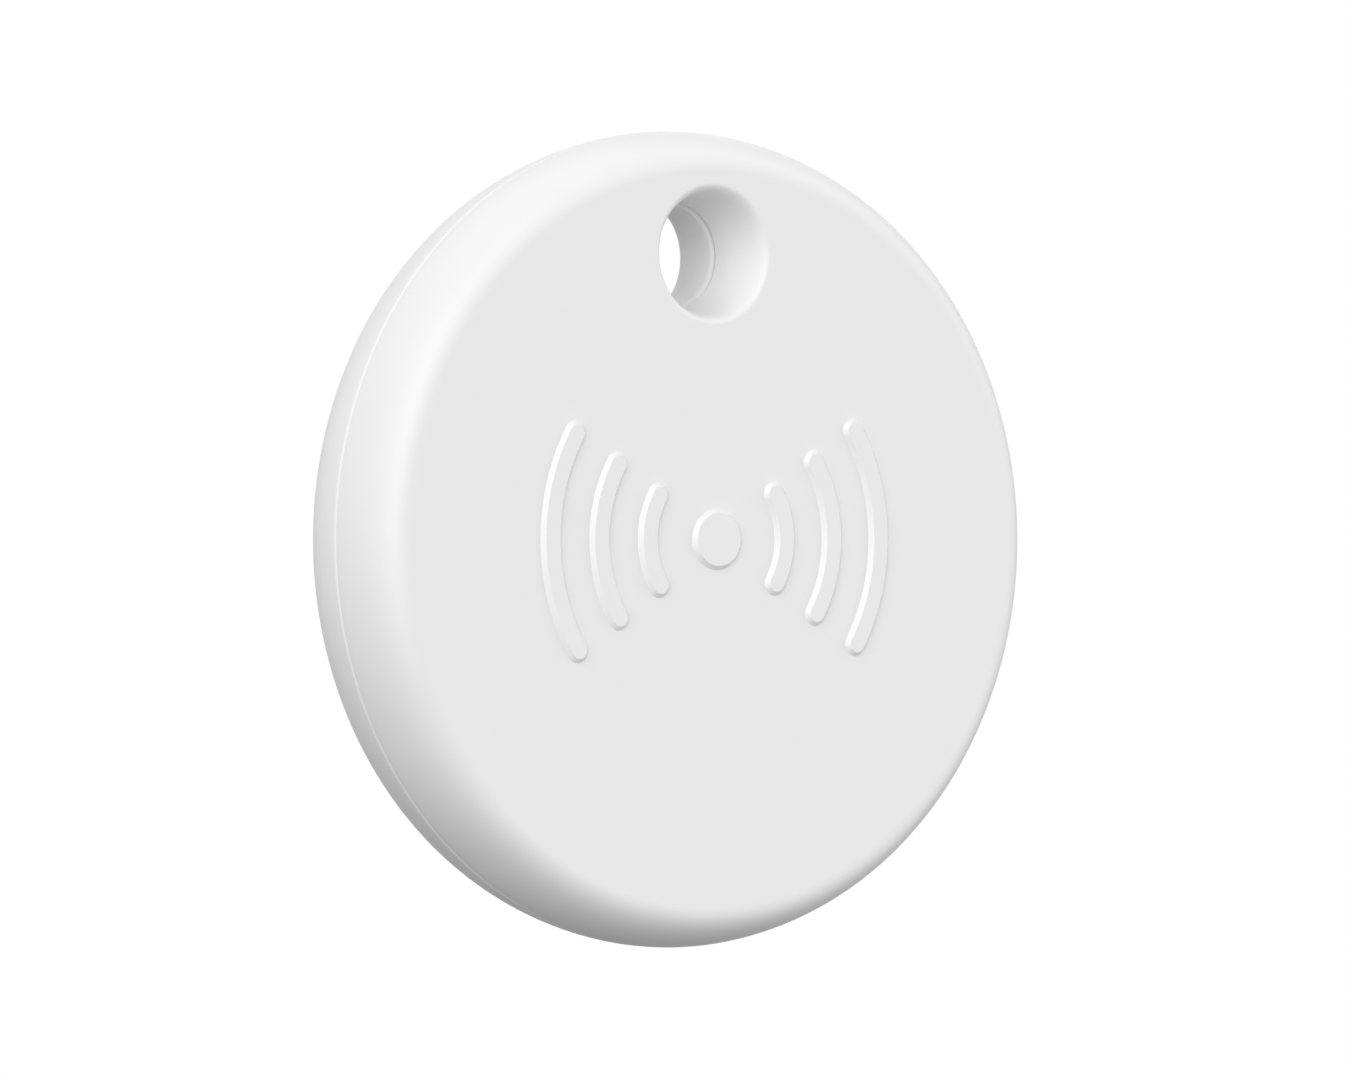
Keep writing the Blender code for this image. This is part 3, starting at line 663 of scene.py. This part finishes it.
def plus_sign(at, size, width):
    """Outline of a plus sign."""
    a, b = size / 2, width / 2
    arm = ((a, -b), (a, b), (b, b))
    turns = ((1, 0), (0, 1), (-1, 0), (0, -1))
    return [(at[0] + c * x - s * y, at[1] + s * x + c * y) for c, s in turns for x, y in arm]


def components():
    """Parts on the front of the board, with their metal ends and the solder that holds them."""
    metal, solder = Skin(), Skin()
    for node, (length, width, turn) in TWO_ENDED.items():
        at, _, (low, high) = reach(node)
        end = min(0.25 * length, 0.45)
        body = Skin().prism(rectangle(at, (length - 0.06, width - 0.04), turn), low + 0.01, high - 0.01)
        paint = RESIN if "resistor" in node else ANTENNA if node == "chip_antenna" else CAPACITOR
        add(soften(body.object(node + "_body"), 0.03), paint, node)
        for side in (-1, 1):
            middle = side * (length - end) / 2
            metal.prism(rectangle(at, (end, width), turn, (middle, 0)), low, high)
            wide = rectangle(at, (end + 0.3, width + 0.16), turn, (middle + side * 0.13, 0))
            narrow = rectangle(at, (end + 0.05, width + 0.03), turn, (middle + side * 0.01, 0))
            solder.taper(wide, narrow, BOARD_FRONT, low + 0.4 * (high - low))
    at, _, (low, high) = reach("chip_antenna")
    for shift in (-1.2, -0.4, 0.4, 1.2):
        metal.prism(rectangle(at, (0.3, 1.9), ANTENNA_TURN, (shift, 0)), high - 0.02, high)

    for node, turn, rows, pitch in (("bluetooth_chip", 0, 8, 0.44), ("bluetooth_chip", 90, 8, 0.44),
                                    ("memory_chip", MEMORY_TURN, 4, 0.6)):
        at, _, (low, high) = reach(node)
        half = 2.0 if node == "bluetooth_chip" else 1.0
        for side in (-1, 1):
            for k in range(rows):
                along = (k - (rows - 1) / 2) * pitch
                metal.prism(rectangle(at, (0.3, 0.22), turn, (side * (half - 0.1), along)),
                            BOARD_FRONT, low + 0.16)
    sizes = {"bluetooth_chip": (4.0, 4.0, 0), "memory_chip": (2.0, 3.0, MEMORY_TURN),
             "driver_transistor": (2.0, 1.3, 0)}
    for node, (length, width, turn) in sizes.items():
        at, _, (low, high) = reach(node)
        body = Skin()
        middle = low + 0.45 * (high - low)
        edge = 0.08 if node == "driver_transistor" else 0.0
        for start, stop, z0, z1 in ((edge, 0, low, middle), (0, edge, middle, high)):
            body.taper(rectangle(at, (length - 2 * start, width - 2 * start), turn),
                       rectangle(at, (length - 2 * stop, width - 2 * stop), turn), z0, z1)
        dot = rectangle(at, (length - 0.9, width - 0.6), turn)[0]
        body.prism(circle(dot, 0.13, 20), high - 0.01, high + 0.012)
        add(soften(body.object(node + "_body"), 0.04), RESIN, node)
    at, _, (low, high) = reach("driver_transistor")
    for x, turn in ((-0.65, -90), (0.65, -90), (0.0, 90)):
        foot = BOARD_FRONT + 0.06
        path = rounded([(0.3, low + 0.35), (0.75, low + 0.35), (0.85, foot), (1.2, foot)], 0.1, closed=False)
        metal.strip(path, 0.3, 0.1, (at[0] + x, at[1]), turn)

    for node, size in (("radio_crystal", (2.0, 1.6)), ("sleep_crystal", (1.6, 1.0))):
        at, _, (low, high) = reach(node)
        can = Skin().prism(rounded(rectangle(at, size), 0.12), low, low + 0.3 * (high - low))
        lid = [s - 0.24 for s in size]
        can.prism(rounded(rectangle(at, lid), 0.2), low + 0.2 * (high - low), high)
        add(soften(can.object(node + "_can"), 0.04, 3), CAN, node)
        for i, j in CORNER_SIGNS:
            spot = (at[0] + i * (size[0] / 2 - 0.2), at[1] + j * (size[1] / 2 - 0.15))
            solder.taper(rectangle(spot, (0.7, 0.6)), rectangle(spot, (0.46, 0.36)), BOARD_FRONT, low + 0.08)
    at, _, (low, high) = reach("boost_inductor")
    core = Skin().prism(rounded(rectangle(at, (3.0, 3.0)), 0.3), low, low + 0.28)
    core.lathe([(1.1, low + 0.2), (1.1, high - 0.2)], at, 48)
    core.lathe([(1.42, high - 0.26), (1.42, high)], at, 48)
    add(soften(core.object("boost_inductor_core"), 0.05), FERRITE, "boost_inductor")
    coil = Skin()
    turns = 4
    for k in range(turns):
        middle = low + 0.28 + (k + 0.5) * (high - low - 0.54) / turns
        coil.ring(circle((1.22, middle), 0.055, 8), at, 48)
    add(coil.object("boost_inductor_winding"), COPPER)
    for side in (-1, 1):
        solder.taper(rectangle(at, (3.1, 1.0), 0, (0, side * 1.15)),
                     rectangle(at, (2.7, 0.7), 0, (0, side * 1.1)), BOARD_FRONT, low + 0.1)
    add(soften(metal.object("component_terminals"), 0.012, 1), SILVER)
    add(solder.object("solder_joints"), SILVER)


def button():
    """Push switch at the middle of the sounder: housing with its well, steel plate and plunger."""
    _, size, (low, high) = reach("button_housing")
    outline = rounded(rectangle(STACK, size), 0.25)
    skin = Skin()
    foot, top = skin.loop(outline, low), skin.loop(outline, high)
    rim, bed = [skin.loop(circle(STACK, 1.15, 48), z) for z in (high, low + 0.05)]
    skin.fill(foot, grid=None)
    skin.bridge(foot, top)
    skin.fill(top, [rim], grid=None)
    skin.bridge(rim, bed)
    skin.fill(bed, grid=None)
    pins = [(STACK[0] + i * 1.4, STACK[1] + j * 1.1) for i, j in CORNER_SIGNS]
    for pin in pins:
        skin.prism(circle(pin, 0.14, 16), high - 0.02, high + 0.028)
    add(soften(skin.object("button_housing_body"), 0.03), SWITCH, "button_housing")
    _, size, (low, high) = reach("button_plate")
    holes = [circle(STACK, 0.85, 48), *(circle(pin, 0.08, 16) for pin in pins)]
    skin = Skin().prism(rounded(rectangle(STACK, size), 0.3), low, high, holes)
    add(soften(skin.object("button_plate_sheet"), 0.012), STEEL, "button_plate")
    low, high = reach("button_plunger")[2]
    skin = Skin().lathe([(1.0, low), (1.0, low + 0.02), (0.7, low + 0.02), (0.7, high - 0.05),
                         (0.66, high - 0.015), (0.58, high)], STACK, 48)
    add(soften(skin.object("button_plunger_body"), 0.008), PLUNGER, "button_plunger", body="plunger")


def battery_contacts():
    """Sprung side clips, split into two fingers each, and the flat leaf under the cell's cap."""
    foot = BOARD_BACK - GAP - 0.07
    edge = BATTERY_RADIUS + 0.16
    path = [(edge + 2.5, foot), (edge + 0.95, foot), (edge + 0.3, foot - 0.6), (edge, foot - 1.05),
            (edge + 0.05, foot - 1.25), (edge + 0.4, foot - 1.6)]
    for word, turn in (("right", 0), ("left", 180)):
        skin = Skin()
        skin.strip([path[0], (edge + 0.85, foot)], 3.0, 0.14, STACK, turn)
        for side in (-0.85, 0.85):
            finger = rounded([(edge + 1.2, foot), *path[1:]], 0.3, closed=False)
            skin.strip(finger, 1.3, 0.136, STACK, turn, side)
        node = f"battery_clip_{word}"
        add(soften(skin.object(node + "_spring"), 0.025), GOLD, node)
    _, size, (low, high) = reach("battery_leaf")
    slots = [rounded(rectangle(STACK, (0.35, 7.0), 0, (side * 0.8, 0)), 0.17) for side in (-1, 1)]
    leaf = Skin().prism(rounded(rectangle(STACK, size), 0.6), low, high, slots)
    add(soften(leaf.object("battery_leaf_spring"), 0.015), GOLD, "battery_leaf")


def battery_frame():
    """Ring with four lugs that the cell sits in, notched for the clips."""
    inner, outer = BATTERY_RADIUS + 0.2, BATTERY_RADIUS + 1.0
    low, high = reach("battery_frame")[2]
    skin = Skin().ring([(inner + 0.18, low), (outer, low), (outer, high), (inner, high), (inner, low + 0.3)])
    frame = skin.object("battery_frame_body")
    for angle in (35, 145, 215, 325):
        lug = Skin().prism(circle(polar(outer + 0.3, angle, STACK), 1.0, 32), high - 1.0, high - 0.001)
        carve(frame, lug.object("lug"), "UNION")
        sink = Skin().prism(circle(polar(outer + 0.55, angle, STACK), 0.35, 20), high - 1.1, high - 0.7)
        carve(frame, sink.object("sink"), "DIFFERENCE")
    notch = Skin().prism(rectangle(STACK, (2 * outer + 2, 3.6)), high - 1.75, high + 0.15)
    carve(frame, notch.object("notch"), "DIFFERENCE")
    frame.data.shade_smooth()
    frame.data.set_sharp_from_angle(angle=radians(38))
    add(soften(frame, 0.04), BLACK, "battery_frame")


def battery():
    """Coin cell: drawn and crimped can, gasket, cap and electrodes."""
    back, front, radius = BATTERY_BACK, BATTERY_FRONT, BATTERY_RADIUS
    sheet, fold, lip = 0.25, 0.35, front - 0.5
    stamp = [(8.75, back), (8.68, back + 0.05), (8.47, back + 0.05), (8.4, back)]
    wall = radius - sheet
    profile = [(wall - 0.1, back + sheet), (wall, back + sheet + 0.1), (wall, lip - 0.04), (wall + 0.04, lip),
               (radius - 0.16, lip), (radius - 0.05, lip - 0.05), (radius, lip - 0.2),
               *arc((radius - fold, back + fold), fold, 0, -90, 8), *stamp]
    can = Skin().lathe(profile, segments=RING_SEGMENTS)
    can.prism(plus_sign(STACK, 4.4, 0.85), back - 0.02, back + 0.03)
    add(can.object("battery_can_shell"), STEEL, "battery_can", body="cell")
    low, high = reach("battery_gasket")[2]
    gasket = turned_ring("battery_gasket_ring", radius - 1.0, wall - GAP, low, high, 0.08,
                         segments=RING_SEGMENTS)
    add(gasket, RUBBER, "battery_gasket", body="cell")
    edge = radius - 1.0 - GAP
    low = reach("battery_cap")[2][0]
    profile = [(edge - sheet - 0.2, front - sheet), (edge - sheet, front - sheet - 0.2), (edge - sheet, low),
               (edge, low), *arc((edge - fold, front - fold), fold, 0, 90, 8), (edge - 1.0, front),
               (edge - 1.1, front - 0.04), (edge - 1.25, front - 0.04), (edge - 1.35, front)]
    cap = Skin().lathe(profile, segments=RING_SEGMENTS)
    add(cap.object("battery_cap_shell"), STEEL, "battery_cap", body="cell")
    low, high = reach("battery_electrodes")[2]
    stack = turned_disc("battery_electrode_disc", edge - sheet - 0.1, low, high, 0.05)
    add(stack, ELECTRODE, "battery_electrodes", body="cell")


# Paints: a slot's name and a material ---

def wired(tree, kind, inputs=None, **settings):
    """Add a shader node with settings, and set or link its inputs."""
    node = tree.nodes.new("ShaderNode" + kind)
    for key, value in settings.items():
        setattr(node, key, value)
    for key, value in (inputs or {}).items():
        if isinstance(value, bpy.types.NodeSocket):
            tree.links.new(value, node.inputs[key])
        else:
            node.inputs[key].default_value = value
    return node


class Shader:
    """A Principled material and short ways to wire its nodes."""

    def __init__(self, name, **values):
        """Name the material and set the main shader's values."""
        self.material = bpy.data.materials.new(name)
        self.material.use_nodes = True
        self.tree = self.material.node_tree
        self.main = self.tree.nodes["Principled BSDF"]
        for socket, value in values.items():
            self.main.inputs[socket.replace("_", " ")].default_value = value

    def node(self, kind, inputs=None, **settings):
        """Add a node to this material."""
        return wired(self.tree, kind, inputs, **settings)

    def link(self, output, socket):
        """Feed one of the main shader's inputs."""
        self.tree.links.new(output, self.main.inputs[socket])

    def place(self, stretch=None):
        """Object coordinates, each multiplied by a factor if asked."""
        place = self.node("TexCoord").outputs["Object"]
        if not stretch:
            return place
        return self.node("VectorMath", {0: place, 1: stretch}, operation="MULTIPLY").outputs["Vector"]

    def noise(self, scale, detail=3.0, roughness=0.5, stretch=None):
        """Noise in object space, scale in features per metre."""
        values = {"Vector": self.place(stretch), "Scale": scale, "Detail": detail, "Roughness": roughness}
        return self.node("TexNoise", values).outputs["Fac"]

    def spread(self, value, low, high, from_low=0.3, from_high=0.7):
        """Map a value onto another range."""
        ends = {"From Min": from_low, "From Max": from_high, "To Min": low, "To Max": high}
        return self.node("MapRange", {"Value": value, **ends}).outputs["Result"]

    def mix(self, factor, one, two):
        """Blend two colours. The node's colour sockets are inputs 6 and 7, and output 2."""
        values = {"Factor": factor, 6: (*one, 1.0), 7: (*two, 1.0)}
        return self.node("Mix", values, data_type="RGBA").outputs[2]

    def bump(self, height, distance, strength=1.0):
        """Bump the main shader by a height, distance in metres."""
        made = self.node("Bump", {"Height": height, "Distance": distance, "Strength": strength})
        self.link(made.outputs["Normal"], "Normal")


def white_plastic():
    """Satin white moulded plastic with a fine spark-eroded grain."""
    s = Shader("white_satin_plastic", Roughness=0.42, IOR=1.46)
    shade = s.spread(s.noise(180.0, 2.0), 0.0, 1.0)
    s.link(s.mix(shade, (0.795, 0.795, 0.797), (0.805, 0.805, 0.805)), "Base Color")
    grain = s.noise(9000.0, 2.0, 0.6)
    s.link(s.spread(grain, 0.38, 0.46), "Roughness")
    s.bump(grain, 0.0012 * MM)
    return "shell_plastic", s.material


def surface(slot, one, two, roughness, metallic=0.0, grain=3000.0, depth=0.002, stretch=None, name=None,
            **values):
    """A colour that drifts between two, with uneven roughness and a fine bump of a depth in millimetres."""
    s = Shader(name or slot, Metallic=metallic, **values)
    s.link(s.mix(s.spread(s.noise(grain / 12), 0.0, 1.0), one, two), "Base Color")
    fine = s.noise(grain, stretch=stretch)
    s.link(s.spread(fine, roughness - 0.06, roughness + 0.06), "Roughness")
    s.bump(fine, depth * MM)
    return slot, s.material


def board_mask():
    """Green solder mask over woven glass cloth."""
    s = Shader("board_mask", Roughness=0.35, Coat_Weight=0.4, Coat_Roughness=0.2)
    bands = [s.node("TexWave", {"Vector": s.place(), "Scale": 1000.0, "Distortion": 0.6, "Detail": 1.0},
                    bands_direction=axis).outputs["Fac"] for axis in "XZ"]
    weave = s.node("Math", {0: bands[0], 1: bands[1]}, operation="MULTIPLY").outputs[0]
    s.link(s.mix(weave, (0.010, 0.085, 0.040), (0.018, 0.125, 0.058)), "Base Color")
    s.link(s.spread(s.noise(1500.0), 0.28, 0.42), "Roughness")
    s.bump(weave, 0.002 * MM)
    return "board_laminate", s.material


def foam():
    """Open-celled black foam."""
    s = Shader("black_foam", Roughness=0.95)
    cells = s.node("TexVoronoi", {"Vector": s.place(), "Scale": 6000.0}).outputs["Distance"]
    s.link(s.mix(cells, (0.012, 0.012, 0.013), (0.055, 0.055, 0.058)), "Base Color")
    s.link(s.spread(cells, 0.9, 1.0, 0.0, 0.8), "Roughness")
    s.bump(cells, 0.05 * MM)
    return "foam", s.material


def dress(thing, material):
    """Give an object one material."""
    thing.data.materials.clear()
    thing.data.materials.append(material)


def add(thing, paint, *nodes, body="front_half"):
    """Put a new piece on its body, with its material, in place of CAD nodes."""
    slot, material = paint
    dress(thing, material)
    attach(thing, body)
    if nodes:
        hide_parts(*nodes)
    return thing


# Stage ----------------------

CAMERA_DISTANCE = 0.438
CAMERA_AZIMUTH = -36.0
CAMERA_ELEVATION = 0.43
CAMERA_ROLL = -0.6
FRAME_WIDTH = 0.06425  # width of the view at the tag's centre
LOOK_SHIFT = (-0.00222, -0.0004)  # where the tag's centre sits from the view's middle, as a share

# Soft boxes: azimuth and elevation of where the light comes from, in degrees, and strength
SOFT_BOXES = (
    (-7, 29, 0.2), (-27, 49, 1.1), (-40, 18, 2.7), (-52, -7, 0.95), (-60, 36, 0.75), (-72, 9, 1.05),
    (-145, 31, 0.15), (-157, 5, 1.25), (-165, 52, 0.55), (40, -49, 0.1), (53, -18, 1.15), (65, 7, 1),
    (78, 33, 1.15), (85, -9, 0.6), (143, 62, 1.15), (144, 8, 1.3))
BOX_TIGHTNESS = 12.0
FLOOR_HEIGHT = -40.0
FLOOR_RADIUS = 150.0
FILL_LIGHT = 0.15


def direction(azimuth, elevation):
    """Unit vector towards an azimuth and an elevation in degrees, from straight in front of the face."""
    a, e = radians(azimuth), radians(elevation)
    return sin(a) * cos(e), -cos(a) * cos(e), sin(e)


def camera():
    """Long-lens camera at the photographed angle."""
    data = bpy.data.cameras.new("camera")
    thing = bpy.data.objects.new("camera", data)
    bpy.context.scene.collection.objects.link(thing)
    back = Vector(direction(CAMERA_AZIMUTH, CAMERA_ELEVATION))
    thing.location = back * CAMERA_DISTANCE
    thing.rotation_mode = "QUATERNION"
    turn = (-back).to_track_quat("-Z", "Y")
    thing.rotation_quaternion = turn @ Quaternion((0, 0, 1), radians(CAMERA_ROLL))
    data.lens = data.sensor_width * CAMERA_DISTANCE / FRAME_WIDTH
    data.shift_x, data.shift_y = -LOOK_SHIFT[0], -LOOK_SHIFT[1]
    data.clip_start, data.clip_end = 0.01, 10.0
    bpy.context.scene.camera = thing


def world():
    """White studio surround: plain white to the camera, and soft boxes of light for the tag."""
    scene = bpy.context.scene
    scene.view_settings.view_transform = "Standard"
    surround = bpy.data.worlds.new("studio")
    scene.world = surround
    surround.use_nodes = True
    tree = surround.node_tree
    tree.nodes.clear()

    toward = wired(tree, "TexCoord").outputs["Generated"]
    light = FILL_LIGHT
    for azimuth, elevation, strength in SOFT_BOXES:
        middle = direction(azimuth, elevation)
        facing = wired(tree, "VectorMath", {0: toward, 1: middle}, operation="DOT_PRODUCT").outputs["Value"]
        steps = {0: facing, 1: BOX_TIGHTNESS, 2: -BOX_TIGHTNESS}
        fall = wired(tree, "Math", steps, operation="MULTIPLY_ADD").outputs[0]
        glow = wired(tree, "Math", {0: fall}, operation="EXPONENT").outputs[0]
        light = wired(tree, "Math", {0: glow, 1: strength, 2: light}, operation="MULTIPLY_ADD").outputs[0]
    white = (1, 1, 1, 1)
    studio = wired(tree, "Background", {"Color": white, "Strength": light}).outputs[0]
    backdrop = wired(tree, "Background", {"Color": white, "Strength": 1.0}).outputs[0]
    seen = wired(tree, "LightPath").outputs["Is Camera Ray"]
    both = wired(tree, "MixShader", {0: seen, 1: studio, 2: backdrop}).outputs[0]
    wired(tree, "OutputWorld", {"Surface": both})


def floor():
    """A round pale table below the tag, fading out at its edge."""
    skin = Skin()
    rings = [skin.loop(circle((0, 0), radius, 64), 0) for radius in (40, 80, FLOOR_RADIUS)]
    skin.fill(rings[0], grid=None)
    for one, two in zip(rings, rings[1:]):
        skin.bridge(one, two)
    thing = skin.object("floor", lambda x, y, z: (x * MM, y * MM, FLOOR_HEIGHT * MM))
    paint = Shader("pale_floor", Base_Color=(0.9, 0.9, 0.9, 1), Roughness=0.7)
    distance = paint.node("VectorMath", {0: paint.place()}, operation="LENGTH").outputs["Value"]
    fade = paint.node("MapRange", {"Value": distance, "From Min": 0.5 * FLOOR_RADIUS * MM,
                                   "From Max": FLOOR_RADIUS * MM}, interpolation_type="SMOOTHSTEP")
    clear = paint.node("BsdfTransparent").outputs[0]
    both = paint.node("MixShader", {0: fade.outputs[0], 1: paint.main.outputs[0], 2: clear}).outputs[0]
    paint.tree.links.new(both, paint.tree.nodes["Material Output"].inputs["Surface"])
    dress(thing, paint.material)
    thing.visible_diffuse = thing.visible_glossy = thing.visible_shadow = False


SHELL = white_plastic()
RUBBER = surface("seal_rubber", (0.022, 0.023, 0.025), (0.032, 0.033, 0.035), 0.62, depth=0.004)
FOAM = foam()
SILICONE = surface("silicone", (0.42, 0.44, 0.46), (0.48, 0.5, 0.52), 0.55, Subsurface_Weight=0.15,
                   name="grey_silicone")
ADHESIVE = surface("adhesive_film", (0.5, 0.5, 0.48), (0.58, 0.58, 0.55), 0.45)
BRASS = surface("brass", (0.72, 0.5, 0.2), (0.8, 0.59, 0.28), 0.3, 1.0, depth=0.001, stretch=(1, 1, 12),
                name="rolled_brass")
COPPER = surface("brass", (0.62, 0.26, 0.12), (0.72, 0.33, 0.17), 0.32, 1.0, name="enamelled_copper")
CERAMIC = surface("piezo_ceramic", (0.34, 0.32, 0.28), (0.42, 0.4, 0.36), 0.6, grain=8000.0)
SILVER = surface("steel", (0.7, 0.7, 0.69), (0.8, 0.8, 0.79), 0.34, 1.0, grain=5000.0, name="tinned_metal")
BOARD = board_mask()
TRACKS = surface("board_laminate", (0.02, 0.165, 0.075), (0.028, 0.2, 0.095), 0.32, Coat_Weight=0.4,
                 name="masked_tracks")
INK = surface("board_laminate", (0.72, 0.73, 0.72), (0.82, 0.82, 0.81), 0.6, grain=9000.0, name="white_print")
GOLD = surface("spring_metal", (0.84, 0.62, 0.28), (0.9, 0.7, 0.36), 0.24, 1.0, depth=0.001, name="gilt_metal")
RESIN = surface("chip_resin", (0.018, 0.018, 0.02), (0.034, 0.034, 0.036), 0.55, grain=9000.0, depth=0.004)
SWITCH = surface("switch_resin", (0.04, 0.04, 0.043), (0.055, 0.055, 0.058), 0.5, grain=6000.0)
PLUNGER = surface("switch_resin", (0.3, 0.3, 0.3), (0.36, 0.36, 0.36), 0.5, grain=6000.0, name="plunger_resin")
ANTENNA = surface("antenna_ceramic", (0.66, 0.7, 0.66), (0.74, 0.77, 0.73), 0.42, grain=6000.0)
CAPACITOR = surface("capacitor_ceramic", (0.3, 0.19, 0.11), (0.38, 0.25, 0.15), 0.5, grain=6000.0)
CAN = surface("crystal_can", (0.66, 0.64, 0.58), (0.74, 0.72, 0.66), 0.28, 1.0, grain=4000.0)
FERRITE = surface("ferrite", (0.045, 0.045, 0.048), (0.075, 0.075, 0.078), 0.55, grain=7000.0, depth=0.006)
STEEL = surface("steel", (0.62, 0.62, 0.61), (0.7, 0.7, 0.69), 0.27, 1.0, depth=0.0015, stretch=(8, 1, 0.3),
                name="nickelled_steel")
BLACK = surface("frame_plastic", (0.02, 0.02, 0.022), (0.03, 0.03, 0.032), 0.48, grain=5000.0)
ELECTRODE = surface("electrode_mix", (0.02, 0.02, 0.02), (0.05, 0.05, 0.048), 0.92, grain=4000.0, depth=0.01)

add(front_skin(), SHELL, "front_shell")
add(back_skin(), SHELL, "back_cover", body="cover")
soft_parts()
sounder()
board()
components()
button()
battery_contacts()
battery_frame()
battery()

camera()
world()
floor()
